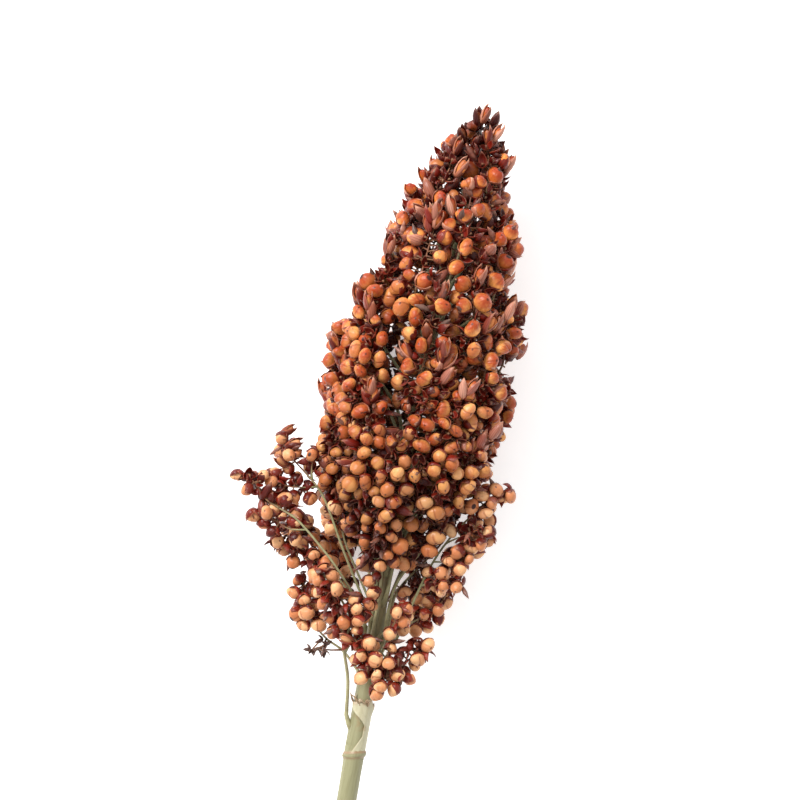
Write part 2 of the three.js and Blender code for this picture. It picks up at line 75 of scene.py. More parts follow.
SPREAD = {"least": 0.6, "more": 2.4}
ROUTE_STEPS = 7
RACHIS_GAP = 0.75
DENSE = {"name": "dense", "core": 2.2}
SPARSE = {"name": "sparse", "core": 1.2}
STEM_RADIUS = 0.62
STEM_SWELL = {"foot": 1.15, "top": 0.95, "tip": 0.6}
GAP = 0.2
ROOT_GAP = 0.35
BALL_STEP = 1.4
AZIMUTH_STEP = 3.5
AZIMUTH_TRIES = 25
LOWEST_CORE = 5.6
CORE_EASE = 1.5
TIP_ROUTE = [188, 194, 200, 205]
ROUTE_SEED = 21

# The loose sprays: for each, its arms, each with the share that bears no grains and its route.
LOOSE = {
    "left_high": [
        (0.52, [[-5.2, 56.5, 27], [-16, 72.5, 31], [-23.8, 85.6, 33], [-28.2, 90.8, 34], [-32.5, 94.2, 34],
                [-37.6, 98.2, 34], [-40, 103, 33.5]]),
        (0.1, [[-27.8, 90.4, 34], [-32.3, 89.4, 34.6], [-36.5, 88.9, 34.4], [-40.3, 90.3, 34]]),
        (0.3, [[-29.6, 92.2, 34], [-30.5, 96, 35], [-30.2, 100.6, 35.4]]),
    ],
    "left_long": [
        (0.6, [[-6, 53.5, 30.8], [-15.5, 66, 36], [-22.1, 72.3, 37.5], [-31.2, 79.5, 38.5], [-36, 81.6, 38.5],
               [-42.1, 84, 38], [-46, 88, 37.5], [-49.5, 89.4, 37]]),
        (0.12, [[-28.5, 77.4, 38.2], [-33.5, 76.6, 37.6], [-38.5, 78.4, 37], [-42.5, 79.5, 36.5]]),
    ],
    "left_low": [
        (0.5, [[-6.4, 47, 26], [-12, 56, 30], [-18, 62.5, 31.5], [-23.8, 67.2, 32], [-29.3, 70, 32],
               [-36, 70.8, 31.5]]),
    ],
    "left_inner": [
        (0.46, [[-5.2, 60, 25.5], [-10.8, 67, 27], [-16.6, 76, 29], [-20, 84, 30], [-22.8, 91, 30.5],
                [-25, 96.5, 30.5]]),
    ],
    "left_drooping": [
        (0.52, [[-6.2, 38.5, 23], [-10.8, 43.3, 22], [-16.5, 46, 23], [-21.5, 50.3, 24], [-25.3, 55.5, 25],
                [-26.6, 61, 25.5]]),
        (0.35, [[-11.2, 43.5, 22.1], [-14.8, 42.8, 23.5], [-18.3, 42.6, 23.7], [-20.8, 41.2, 24]]),
    ],
    "front_left": [
        (0.5, [[-6.4, 25, 27], [-7.6, 35.3, 30], [-9.9, 42.4, 33.5], [-11.9, 48.1, 36.5], [-14.4, 55, 38],
               [-17.4, 60.6, 38.5], [-21.3, 65.3, 38]]),
        (0.2, [[-11, 45.8, 35.3], [-10, 52, 38], [-8, 57, 39], [-5, 61.5, 38.5]]),
        (0.2, [[-10.2, 43.2, 33.9], [-8.4, 47.6, 37], [-5.4, 46.8, 38], [-4.6, 43.8, 37.5]]),
    ],
    "right_high": [
        (0.7, [[1.4, 41.5, 27.5], [4, 49, 29.5], [6.6, 60.5, 31], [9.9, 73.4, 33], [13.6, 82.3, 34],
               [18.5, 90.3, 35], [23.6, 97, 35], [26.8, 99, 34.5]]),
        (0.2, [[13, 81.2, 33.9], [16.9, 84, 35.5], [20.4, 84.2, 36], [24.6, 85.2, 36]]),
        (0.25, [[10.5, 75.2, 33.2], [14.4, 76, 35.4], [18.8, 77.6, 36]]),
        (0.2, [[8.4, 67.4, 32.1], [12, 69.4, 33.6], [16, 70, 34.6], [18.8, 69, 35]]),
    ],
    "right_middle": [
        (0.42, [[1.4, 47.5, 24], [5, 53, 22.6], [9.5, 57, 23.4], [13.4, 60, 24.8], [15.8, 64.4, 26]]),
    ],
    "right_inner": [(0.4, [[-0.6, 50.5, 29.6], [2, 53, 34], [3, 57, 36.6], [2.8, 61.4, 37.2]])],
    "right_drooping": [(0.3, [[1, 36.5, 29.6], [5.4, 41, 31.6], [9.6, 45.8, 32.6], [13.8, 49.8, 32.4]])],
    "front_drooping": [
        (0.28, [[-1.4, 46, 30.2], [0.4, 45.8, 34.8], [3.2, 43.2, 37.4], [3.2, 38.8, 38], [1.2, 35.2, 37.2]]),
        (0.15, [[3, 42.6, 37.6], [6.4, 40.4, 38.4], [7.6, 37.6, 38]]),
        (0.2, [[1.2, 45.2, 36], [-1.4, 42.4, 37.2], [-2.2, 38.2, 36.8]]),
    ],
    "under_left": [(0.42, [[-5.6, 46, 22], [-10, 54, 14.5], [-15, 64, 7.8], [-19, 74, 5], [-22.5, 84, 4.8]])],
    "under_middle": [
        (0.36, [[-2.6, 41, 21], [-2.2, 47, 12.5], [-1.4, 54, 6.4], [0, 62, 4.8], [1.6, 70, 4.8]]),
    ],
    "under_right": [(0.42, [[1.6, 45, 22], [6, 53, 14.5], [11.4, 63, 7.8], [15.6, 73, 5], [19, 82, 4.8]])],
    "back_left": [
        (0.46, [[-5.8, 51, 21.5], [-12, 60, 18], [-21, 68.5, 15.5], [-30, 76, 15], [-37.5, 83, 16]]),
    ],
    "back_right": [
        (0.46, [[0.8, 53.6, 21.2], [7, 62, 17.4], [13.8, 71.4, 15], [20, 80.6, 14.6], [25, 88.4, 15.4]]),
    ],
}
DEAD_ARM = ("left_drooping", 1)

# Spikelets, at true size. The head's outer radius, up its axis, is what the finer grains keep inside.
GRAIN_RADIUS = 2.2
GRAIN_SHAPE = (1.1, 0.82, 0.98)
GRAIN_AROUND = 14
GRAIN_ALONG = 9
SILHOUETTE = [
    [60, 60], [96, 33], [108, 29.8], [126, 30.4], [135, 29.4], [144, 28], [153, 26.8], [159, 23], [167, 21.8],
    [173, 21], [180, 18.6], [185, 15.4], [194, 13.2], [198, 11.8], [203, 9.4], [207, 7.2], [212, 3.4],
]
# How far the dense head reaches to its left and right of the axis, with the dents between its clusters.
LEFT_FLANK = [
    [60, 60], [96, 40], [110, 28.2], [119, 27.2], [126, 29], [137, 29.8], [142, 28.8], [148, 25], [153, 23.6],
    [158, 18.5], [165, 19.8], [172, 19], [181, 16.2], [191, 13.2], [201, 8.6], [207, 5.6], [212, 4],
]
RIGHT_FLANK = [
    [60, 14], [82, 18], [100, 22.5], [118, 27.6], [126, 29.4], [134, 24.2], [142, 26.4], [150, 28.2],
    [154, 27.4], [158, 21.6], [170, 21], [180, 19], [188, 14], [200, 10.8], [207, 8.2], [212, 5.4],
]
# Where the stalk stays in sight between the lowest sprays, across from the axis.
OPENING_LOW = 50
OPENING_HIGH = 71
OPENING_LEFT = -2.4
OPENING_RIGHT = [[50, 3.4], [60, 5.4], [71, 8.6]]
# The gaps in the dense head: their two ends across and up, and how far a grain's centre stays from the line
# between these. One is beside the high spray at the right, then two notches and a hole above it, and one
# notch at the left.
GAPS = [
    ((9.6, 73.0), (22.6, 99.5), 3.2),
    ((21.0, 136.0), (28.0, 139.5), 3.6),
    ((20.5, 160.0), (26.0, 160.0), 5.0),
    ((12.4, 131.4), (13.2, 132.2), 2.6),
    ((-31.4, 144.6), (-36.0, 144.6), 5.0),
]
# Rounds of placing, the outermost grains first and then empty husks in the gaps: for each the kind, its
# distance from the arm, how many tries a long arm gets and the share of their radii that two keep apart.
ROUNDS = {
    "dense": [
        ("grain", 5.4, 440, 0.92), ("grain", 3.0, 140, 0.92),
        ("chaff", 5.6, 190, 0.8), ("chaff", 3.6, 90, 0.8),
    ],
    "sparse": [("grain", 3.2, 200, 0.9), ("grain", 1.9, 60, 0.9), ("chaff", 3.0, 60, 0.8)],
}
CHAFF_RADIUS = 1.35
LONG_ARM = {"dense": 34, "sparse": 16}
LOOSE_SIZE = 0.95
DEAD_SHARE = 0.35
DEAD_SIZE = 0.62
FACING_LIMIT = -0.62
HANGING = ("loose_left_high", "loose_left_long")
TIP_SPIKELETS = 7
TIP_SPLAY = 0.7
# What changes up the head, as graded() takes it.
GRAIN_GROWTH = (1, 1.13, 115, 30)
LEAN = (-1.05, 0.95, 80, 95)
HANGING_LEAN = -0.1
COLOUR = (0, 1, 40, 160)
LOOSE_COLOUR = 0.14
HUSKINESS = (0, 1, 125, 75)
BARREN_SHARE = (0.25, 0.6, 90, 100)
LOWEST_UPPER_BRANCH = 25
PLACE_SEED = 5


def along(stations, y):
    """The value at y of a list of [y, value] stations, straight between them."""
    return np.interp(y, *np.transpose(stations))


def mix(a, b, share):
    return a + (b - a) * np.clip(share, 0, 1)


def graded(grade, y):
    """A value that changes up the head, from a low and a high one, a starting height and a distance."""
    low, tip, start, over = grade
    return mix(low, tip, (y - start) / over)


def smooth(share):
    s = np.clip(share, 0, 1)
    return s * s * (3 - 2 * s)


def hump(value, middle, width):
    """1 at the middle, and falling off on both sides of it."""
    return np.exp(-(((value - middle) / width) ** 2))


def unit(vector):
    return vector / np.maximum(np.linalg.norm(vector, axis=-1, keepdims=True), 1e-9)


def lift(points, least):
    """Raises the points that lie lower than the least height."""
    points[:, 2] = np.maximum(points[:, 2], least)


def axis_at(y):
    y = np.asarray(y, float)
    x = AXIS_SHIFT - AXIS_BOW * np.sin(np.pi * np.clip(y / HEAD_TOP, 0, 1))
    return np.stack([x, y, np.full_like(y, AXIS_HEIGHT)], axis=-1)


class Draws:
    """The same draws as the solids make."""

    def __init__(self, seed):
        self.seed = seed

    def next(self):
        self.seed = (self.seed * 1664525 + 1013904223) % 4294967296
        return self.seed / 4294967296


class Curve:
    """A smooth curve through points, at shares of its run of points."""

    def __init__(self, points):
        p = np.array(points, float)
        self.last = len(p) - 1
        self.points = np.vstack([2 * p[0] - p[1], p, 2 * p[-1] - p[-2]])

    def at(self, share):
        s = np.asarray(share, float) * self.last
        i = np.minimum(np.floor(s).astype(int), self.last - 1)
        w = (s - i)[..., None]
        p0, p1, p2, p3 = (self.points[i + k] for k in range(4))
        t0 = 0.5 * (p2 - p0)
        t1 = 0.5 * (p3 - p1)
        return p1 + t0 * w + (-3 * p1 + 3 * p2 - 2 * t0 - t1) * w**2 + (2 * p1 - 2 * p2 + t0 + t1) * w**3

    def length(self):
        points = self.at(np.linspace(0, 1, 201))
        return float(np.linalg.norm(np.diff(points, axis=0), axis=1).sum())


class Arm:
    def __init__(self, owner, kind, points, bare, dead=False, side=False):
        self.owner = owner
        self.kind = kind
        self.curve = Curve(points)
        self.bare = bare
        self.length = self.curve.length()
        self.dead = dead
        self.side = side
        self.turn = 360 * draws.next()

    def radius(self, share):
        share = np.asarray(share, float)
        swell = smooth((share - self.bare + 0.02) / 0.06)
        bare = STEM_RADIUS * mix(STEM_SWELL["foot"], STEM_SWELL["top"], share / self.bare)
        core = self.kind["core"] * mix(1, STEM_SWELL["tip"], (share - 0.85) / 0.15)
        return bare + (core - bare) * swell

    def balls(self):
        count = math.ceil(self.length / BALL_STEP)
        share = np.arange(count + 1) / count
        return np.column_stack([self.curve.at(share), self.radius(share)])

    def frame_at(self, share):
        """A place on the arm, with the way along it, outwards from the stalk and across."""
        before, place, after = self.curve.at(np.clip([share - 0.01, share, share + 0.01], 0, 1))
        ahead = unit(after - before)
        out = place - axis_at(place[1])
        if np.linalg.norm(out) < STEM_RADIUS:
            out = np.array([0.0, 0.0, 1.0])
        out = unit(out - ahead * np.sum(out * ahead))
        return place, ahead, out, np.cross(ahead, out)


def beside_stalk(point):
    point = np.array(point, float)
    axis = axis_at(point[1])
    sheath = SHEATH["radius"] if point[1] < SHEATH["top"] else 0
    distance = max(along(STALK, point[1]), sheath) + STEM_RADIUS * STEM_SWELL["foot"] + ROOT_GAP
    return axis + unit(point - axis) * distance


def dense_route(cluster_y, azimuth, spread):
    length = graded(CLUSTER_LENGTH, cluster_y)
    top = min(cluster_y + length / 2, HEAD_TOP - 4)
    start = cluster_y - length / 2
    climb_share = (cluster_y - FIRST_CLUSTER_Y) / (HEAD_TOP - FIRST_CLUSTER_Y)
    root = max(LOWEST_ROOT_Y + cluster_y * 0.02, start - mix(BARE_RISE["low"], BARE_RISE["tip"], climb_share))
    turn = math.radians(azimuth)
    share = np.arange(ROUTE_STEPS + 1) / ROUTE_STEPS
    y = root + (top - root) * share
    rachis = along(STALK, y) + STEM_RADIUS + RACHIS_GAP
    outer = np.maximum(rachis, along(OUTLINE, y) - CLUSTER_DEPTH + spread * share * share)
    radius = rachis + (outer - rachis) * smooth((y - root) / (start + 0.3 * length - root))
    axis = axis_at(y)
    over = axis[:, 2] + radius * math.sin(turn) - LOWEST_CORE
    lifted = LOWEST_CORE + (over + np.sqrt(over * over + CORE_EASE)) / 2
    z = np.minimum(lifted, axis[:, 2] + radius)
    return np.column_stack([axis[:, 0] + radius * math.cos(turn), y, z]), (start - root) / (top - root)


def dense_arm(i, taken):
    u = (i + 0.5) / DENSE_BRANCHES
    cluster_y = FIRST_CLUSTER_Y + CLUSTER_RISE * u + CLUSTER_THINNING * u**4
    spread = SPREAD["least"] + SPREAD["more"] * draws.next()
    best, fewest = None, None
    for attempt in range(AZIMUTH_TRIES):
        shift = math.ceil(attempt / 2) * (AZIMUTH_STEP if attempt % 2 else -AZIMUTH_STEP)
        points, bare = dense_route(cluster_y, i * GOLDEN_TURN + shift, spread)
        arm = Arm(f"dense_branch_{i + 1:02d}", DENSE, points, bare)
        balls = arm.balls()
        apart = np.linalg.norm(balls[:, None, :3] - taken[:, :3], axis=2)
        blocked = int(np.any(apart < balls[:, None, 3] + taken[:, 3] + GAP, axis=1).sum())
        if fewest is None or blocked < fewest:
            best, fewest = arm, blocked
        if not blocked:
            break
    return best


def all_arms():
    y = np.arange(STALK[0][0], STALK[-1][0] + 1, 1.0)
    sheath = np.where((y > SHEATH["bottom"]) & (y < SHEATH["top"]), SHEATH["radius"], 0)
    taken = np.column_stack([axis_at(y), np.maximum(along(STALK, y), sheath)])
    found = []
    for name, routes in LOOSE.items():
        for k, (bare, route) in enumerate(routes):
            points = route if k else [beside_stalk(route[0]), *route[1:]]
            found.append(Arm("loose_" + name, SPARSE, points, bare, (name, k) == DEAD_ARM, k > 0))
    found.append(Arm("tip_cluster", DENSE, axis_at(TIP_ROUTE), 0.02))
    taken = np.vstack([taken] + [arm.balls() for arm in found])
    for i in range(DENSE_BRANCHES):
        arm = dense_arm(i, taken)
        taken = np.vstack([taken, arm.balls()])
        found.append(arm)
    return found


draws = Draws(ROUTE_SEED)
arms = all_arms()

# The shift from the routes' own frame to the part's, from the stalk's cut end.
stalk_points = np.array([v.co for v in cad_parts["stalk"].data.vertices]) / MM
cut = stalk_points[stalk_points[:, 1] < stalk_points[:, 1].min() + 0.01]
SHIFT = np.array([cut[:, 0].mean() - AXIS_SHIFT, cut[:, 1].mean() - CUT_Y, 0])


def to_part(points):
    """Points of the routes' frame in the part's, in metres."""
    return (np.asarray(points, float) + SHIFT) * MM


rng = np.random.default_rng(PLACE_SEED)


@dataclass
class Spikelet:
    """A grain and its husks, or husks alone, on a short stalk that starts at its foot."""

    arm: Arm
    what: str
    centre: np.ndarray
    size: float
    heading: np.ndarray
    foot: np.ndarray
    draw: np.ndarray
    kind: str = ""


def lean_at(arm, y):
    """How far the spikelets point up the head: down near its foot, up near its tip."""
    return HANGING_LEAN if arm.owner in HANGING else graded(LEAN, y)


def painted_shade_depth(arm, centre):
    """0 at the head's surface, 1 well inside it, where grains, husks and pedicels are darkened as painted
    shade.
    """
    if arm.kind is SPARSE:
        return 0.0
    off = centre - axis_at(centre[1])
    return float(smooth((0.86 - np.hypot(off[0], off[2]) / along(SILHOUETTE[1:], centre[1])) / 0.3))


def is_outside(centre, size, ease=1.0):
    """Whether a spikelet of the dense head would stand out of its outline."""
    off = centre - axis_at(centre[1])
    from_axis = np.hypot(off[0], off[2])
    flank = LEFT_FLANK if off[0] < 0 else RIGHT_FLANK
    if abs(off[0]) + 0.9 * size > along(flank, centre[1]) * ease:
        return True
    return from_axis + 0.9 * size > along(SILHOUETTE, centre[1]) * ease


def is_in_opening(centre):
    across = centre[0] - axis_at(centre[1])[0]
    inside = OPENING_LEFT < across < along(OPENING_RIGHT, centre[1])
    return OPENING_LOW < centre[1] < OPENING_HIGH and inside


def is_in_gap(spikelet):
    if spikelet.arm.owner.startswith("loose_right"):
        return False
    for start, end, reach in GAPS:
        run = np.subtract(end, start)
        off = spikelet.centre[:2] - start
        share = np.clip(off @ run / (run @ run), 0, 1)
        if np.linalg.norm(off - share * run) < reach:
            return True
    return False


def touches(centre, size, spacing, centres):
    apart = np.linalg.norm(centres[:, :3] - centre, axis=1)
    return bool(np.any(apart < spacing * (centres[:, 3] + size)))


def tip_spikelets(arm, centres):
    """The few spikelets that stand out past the end of an arm of the dense head."""
    place, ahead, out, across = arm.frame_at(1.0)
    way = unit(ahead + TIP_SPLAY * out)
    found = []
    for k in range(TIP_SPIKELETS):
        draw = rng.random(4)
        spread = rng.standard_normal(3)
        size = GRAIN_RADIUS * (0.78 + 0.12 * draw[1])
        side = across * (1.7 if k % 2 else -1.7) * (1 - k / TIP_SPIKELETS)
        centre = place + out * 1.2 + way * (0.6 + 1.5 * k) + side
        centre[2] = max(centre[2], 1.1 * size)
        heading = unit(way + 0.35 * side + 0.15 * spread)
        if is_outside(centre, size, 1.13) or touches(centre, size, 0.7, centres):
            continue
        found.append(Spikelet(arm, "tip", centre, size, heading, place, draw))
        centres = np.vstack([centres, [*centre, size]])
    return found, centres


def try_place(arm, what, distance, spacing, centres):
    """One spikelet at a random place round an arm, or None where there is no room."""
    share = arm.bare + (1 - arm.bare) * rng.random() ** 0.9
    turn = rng.random() * 2 * np.pi
    place, ahead, out, across = arm.frame_at(share)
    side = out * np.cos(turn) + across * np.sin(turn)
    draw = rng.random(4)
    spread = rng.standard_normal(6)
    if arm.kind is DENSE and np.cos(turn) < FACING_LIMIT and share < 0.96:
        return None
    if arm.owner in HANGING and share < 0.82 and side[2] > 0.15:
        return None
    size = float(np.clip(GRAIN_RADIUS * (1 + 0.1 * spread[0]), 0.8 * GRAIN_RADIUS, 1.14 * GRAIN_RADIUS))
    if arm.kind is SPARSE:
        size *= LOOSE_SIZE
    size *= graded(GRAIN_GROWTH, place[1])
    if what == "chaff":
        size = CHAFF_RADIUS
    reach = distance * mix(1, 0.42, (share - 0.9) / 0.1) * (1 + 0.06 * spread[1])
    centre = place + side * reach + ahead * 2.2 * smooth((share - 0.94) / 0.06)
    low = 1.04 * size
    if centre[2] < low - 1.6:
        return None
    centre[2] = max(centre[2], low)
    from_axis = np.linalg.norm((centre - axis_at(centre[1]))[[0, 2]])
    if from_axis < along(STALK, centre[1]) + 0.8 * size:
        return None
    ragged = 1 + 0.05 * math.sin(arm.turn) + 0.07 * smooth((share - 0.88) / 0.12)
    if arm.kind is DENSE and is_outside(centre, size, ragged):
        return None
    if is_in_opening(centre) and arm.owner != "loose_front_drooping":
        return None
    if touches(centre, size, spacing, centres):
        return None
    lean = lean_at(arm, centre[1])
    heading = unit(side + np.array([0, lean, 0]) + 0.3 * spread[2:5])
    foot_share = float(np.clip(share - 2.2 * lean / arm.length, arm.bare * 0.9, 1))
    foot = arm.curve.at(np.array([foot_share]))[0]
    return Spikelet(arm, what, centre, size, heading, foot, draw)


def place_spikelets():
    """Fills the space round each arm, none nearer to another than the round allows."""
    jobs = []
    for arm in arms:
        name = arm.kind["name"]
        share_of_long = (1 - arm.bare) * arm.length / LONG_ARM[name]
        kept = DEAD_SHARE if arm.dead else 1
        for number, (what, distance, tries, spacing) in enumerate(ROUNDS[name]):
            jobs += [(number, arm, what, distance, spacing)] * int(tries * share_of_long * kept)
    order = rng.permutation(len(jobs))
    jobs = sorted((jobs[k] for k in order), key=lambda job: (job[2] == "chaff", job[0]))
    placed = []
    centres = np.full((1, 4), 1e6)
    for arm in arms:
        if arm.kind is DENSE:
            found, centres = tip_spikelets(arm, centres)
            placed += found
    for _, arm, what, distance, spacing in jobs:
        spikelet = try_place(arm, what, distance, spacing, centres)
        if spikelet:
            placed.append(spikelet)
            centres = np.vstack([centres, [*spikelet.centre, spikelet.size]])
    return placed


def kind_of(spikelet):
    """bare: the grain stands out of its husks. half, closed: they wrap more of it. empty: they stand open."""
    if spikelet.arm.dead or spikelet.what == "chaff":
        return "empty"
    high = graded(HUSKINESS, spikelet.centre[1])
    draw = spikelet.draw[0]
    limits = (("bare", 0.5 - 0.24 * high), ("half", 0.38 - 0.06 * high), ("closed", 0.03 + 0.31 * high))
    if spikelet.arm.owner in HANGING:
        limits = (("bare", 0.26), ("half", 0.5), ("closed", 0.1))
    if spikelet.what == "tip":
        limits = (("half", 0.25), ("closed", 0.5))
    for name, share in limits:
        if draw < share:
            return name
        draw -= share
    return "empty"


spikelets = [spikelet for spikelet in place_spikelets() if not is_in_gap(spikelet)]
for spikelet in spikelets:
    spikelet.kind = kind_of(spikelet)
    if spikelet.kind == "closed":
        spikelet.heading = unit(spikelet.heading + np.array([0, 0.7, 0]))


def add_object(name, data):
    added = bpy.data.objects.new(name, data)
    scene.collection.objects.link(added)
    return added


class Build:
    """Points, faces and per-point values of one mesh, gathered block by block."""

    def __init__(self):
        self.points, self.faces, self.local, self.tone, self.count = [], [], [], [], 0

    def add(self, points, faces, local, tone):
        points = np.asarray(points, float)
        self.points.append(points)
        self.faces.append(np.asarray(faces) + self.count)
        self.local.append(np.broadcast_to(local, (len(points), 3)))
        self.tone.append(np.broadcast_to(tone, (len(points), 4)))
        self.count += len(points)

    def mesh(self, name, material):
        points = np.vstack(self.points)
        lift(points, 0)
        points = to_part(points)
        faces = np.vstack(self.faces)
        data = bpy.data.meshes.new(name)
        data.vertices.add(len(points))
        data.vertices.foreach_set("co", points.astype(np.float32).ravel())
        data.loops.add(faces.size)
        data.loops.foreach_set("vertex_index", faces.ravel().astype(np.int32))
        data.polygons.add(len(faces))
        data.polygons.foreach_set("loop_start", np.arange(0, faces.size, 3, dtype=np.int32))
        data.polygons.foreach_set("use_smooth", np.ones(len(faces), bool))
        data.update(calc_edges=True)
        local = data.attributes.new("local", "FLOAT_VECTOR", "POINT")
        local.data.foreach_set("vector", np.vstack(self.local).astype(np.float32).ravel())
        tone = data.attributes.new("tone", "FLOAT_COLOR", "POINT")
        tone.data.foreach_set("color", np.vstack(self.tone).astype(np.float32).ravel())
        data.validate()
        data.materials.append(material)
        return add_object(name, data)


@lru_cache
def ring_faces(rings, sides):
    """Triangles between rings of points."""
    faces = []
    for ring in range(0, (rings - 1) * sides, sides):
        for k in range(sides):
            a, b = ring + k, ring + (k + 1) % sides
            faces += [(a, b, b + sides), (a, b + sides, a + sides)]
    return np.array(faces)


@lru_cache
def tube_faces(rings, sides):
    """Triangles between rings of points, and over both ends, whose middle points come last."""
    last = (rings - 1) * sides
    caps = []
    for k in range(sides):
        a, b = k, (k + 1) % sides
        caps += [(last + sides, b, a), (last + sides + 1, last + a, last + b)]
    return np.vstack([ring_faces(rings, sides), caps])


def ball_points(around, rows):
    """A ball of radius 1: rings of points, and then its poles on z."""
    polar = np.pi * np.arange(1, rows)[:, None] / rows
    turn = 2 * np.pi * np.arange(around) / around
    x, y, z = np.sin(polar) * np.cos(turn), np.sin(polar) * np.sin(turn), -np.cos(polar) + 0 * turn
    return np.vstack([np.stack([x, y, z], axis=-1).reshape(-1, 3), (0, 0, -1), (0, 0, 1)])


def grid_faces(across, rows):
    corners = [row * across + k for row in range(rows - 1) for k in range(across - 1)]
    faces = [(p, p + 1, p + across + 1) for p in corners]
    return np.array(faces + [(p, p + across + 1, p + across) for p in corners])


CREASE_AT = 0.12
HUSK_ACROSS = 5
HUSK_ROWS = 6


def scale_faces(across, rows):
    """A thin curved scale: an outer and an inner grid, joined at their rims."""
    size = across * rows
    grid = grid_faces(across, rows)
    joint = []
    ids = np.arange(size).reshape(rows, across)
    rim = [*ids[0], *ids[1:, -1], *ids[-1, -2::-1], *ids[-2:0:-1, 0]]
    for here, there in zip(rim, rim[1:] + rim[:1]):
        joint += [(here, there + size, there), (here, here + size, there + size)]
    return np.vstack([grid, grid[:, ::-1] + size, joint])


def husk_template(across, rows):
    """Which points of its two grids a husk keeps, as each grid ends in one point, and its triangles."""
    size = across * rows
    merged = np.arange(2 * size)
    for tip in (size - across, 2 * size - across):
        merged[tip:tip + across] = tip + across // 2
    faces = merged[scale_faces(across, rows)]
    one, two, three = faces.T
    faces = faces[(one != two) & (two != three) & (three != one)]
    kept, faces = np.unique(faces, return_inverse=True)
    return kept, faces.reshape(-1, 3)


HUSK_KEPT, HUSK_FACES = husk_template(HUSK_ACROSS, HUSK_ROWS)
BALL_POINTS = ball_points(GRAIN_AROUND, GRAIN_ALONG)
BALL_FACES = tube_faces(GRAIN_ALONG - 1, GRAIN_AROUND)


def off_line(way):
    """An axis that is well off a direction."""
    return np.array([0.0, 0.0, 1.0]) if abs(way[2]) < 0.9 else np.array([1.0, 0.0, 0.0])


def outward(turn):
    """Directions out from the stalk, for turns round it from its right side over its front."""
    return np.stack([np.cos(turn), 0 * turn, np.sin(turn)], axis=-1)


def basis_of(heading, turn):
    """Columns: two directions across a heading, turned round it, and the heading."""
    one = unit(np.cross(off_line(heading), heading))
    two = np.cross(heading, one)
    first = one * np.cos(turn) + two * np.sin(turn)
    return np.column_stack([first, np.cross(heading, first), heading])


def husk_points(radius, centre, basis, around, reach, wide, flare, length):
    """Points of a husk that wraps a ball from its foot, and stands off it towards its own tip."""
    u = np.linspace(-1, 1, HUSK_ACROSS)
    v = np.linspace(0, 1, HUSK_ROWS)[:, None]
    outline = np.sin(np.pi * (0.12 + 0.88 * v)) ** 0.75 * (1 - v**4)
    polar = reach * (0.08 + 0.92 * v)
    azimuth = around + wide * u * outline / np.maximum(np.sin(polar), 0.35)
    layers = []
    for thickness in (0.17, 0.04):
        off = radius * (1.02 + flare * v**2) + thickness - 0.1 * radius * (u**2) * v
        along_axis = -np.cos(polar) * off * length
        across_axis = np.sin(polar) * off
        x = across_axis * np.cos(azimuth)
        y = across_axis * np.sin(azimuth)
        layers.append(np.stack([x, y, along_axis + 0 * azimuth], axis=-1).reshape(-1, 3))
    points = centre + np.vstack(layers) @ basis.T
    local = np.stack(np.broadcast_arrays(u, v, 0 * v), axis=-1).reshape(-1, 3)
    return points[HUSK_KEPT], np.vstack([local, local])[HUSK_KEPT]


def tube(build, path, radii, sides, tone):
    """A closed round tube along a path, with per-point values along it."""
    path = np.asarray(path, float)
    n = len(path)
    tangent = unit(np.gradient(path, axis=0))
    normal = np.zeros_like(path)
    normal[0] = unit(np.cross(tangent[0], off_line(tangent[0])))
    for i in range(1, n):
        normal[i] = unit(normal[i - 1] - tangent[i] * np.dot(normal[i - 1], tangent[i]))
    second = np.cross(tangent, normal)
    turns = 2 * np.pi * np.arange(sides)[None, :, None] / sides
    ring = np.cos(turns) * normal[:, None] + np.sin(turns) * second[:, None]
    points = (path[:, None] + ring * np.asarray(radii)[:, None, None]).reshape(-1, 3)
    points = np.vstack([points, path[0], path[-1]])
    share = np.concatenate([np.repeat(np.linspace(0, 1, n), sides), [0, 1]])
    local = np.column_stack([share, np.zeros((len(share), 2))])
    build.add(points, tube_faces(n, sides), local, tone)


def grain_points(bulging, ridge, drawn_out):
    """A grain of radius 1, with a side that bulges past its fold and a faint ridge."""
    points = BALL_POINTS.copy()
    x, y, z = BALL_POINTS.T
    points[:, :2] *= (1 + 0.07 * z - 0.12 * np.maximum(z, 0) ** 3)[:, None]
    bulge = smooth((x - CREASE_AT + 0.1) / 0.35) * smooth((z + 0.6) / 0.7)
    points[:, 0] *= 1 + bulging * bulge
    points[:, 2] *= 1 - 0.6 * bulging * bulge
    fold = hump(x, CREASE_AT, 0.2) * smooth((z + 0.2) / 0.8)
    points *= (1 - 0.8 * bulging * fold)[:, None]
    points[:, 1] *= 1 + ridge * np.abs(y) ** 3 * np.sign(z)
    points[:, 2] += drawn_out * np.maximum(z, 0) ** 4
    return points


# Plump, folded, ridged and pointed grains.
GRAIN_FORMS = [
    grain_points(0.06, 0.05, 0.0),
    grain_points(0.15, 0.12, 0.06),
    grain_points(0.11, -0.12, 0.0),
    grain_points(0.05, 0.08, 0.2),
]


def add_grain(build, spikelet):
    draw = spikelet.draw
    basis = basis_of(spikelet.heading, draw[1] * 2 * np.pi)
    stretch = 0.9 + 0.2 * np.array([draw[2], draw[3], 1 - draw[2]])
    scale = spikelet.size * np.array(GRAIN_SHAPE) * stretch
    if spikelet.kind == "closed":
        scale = scale * (0.6, 0.6, 1.2)
    form = GRAIN_FORMS[int(draw[3] * 3.999)]
    points = spikelet.centre + (form * scale) @ basis.T
    y = spikelet.centre[1]
    high = graded(COLOUR, y)
    if spikelet.arm.kind is SPARSE:
        high = min(high, LOOSE_COLOUR)
    # Painted shade for the grains deep in the head, fading out towards its foot; it goes into the tone's
    # alpha.
    recess_shade = painted_shade_depth(spikelet.arm, spikelet.centre) * smooth((y - 72) / 26)
    build.add(points, BALL_FACES, BALL_POINTS, (draw[1], draw[2], high, recess_shade))


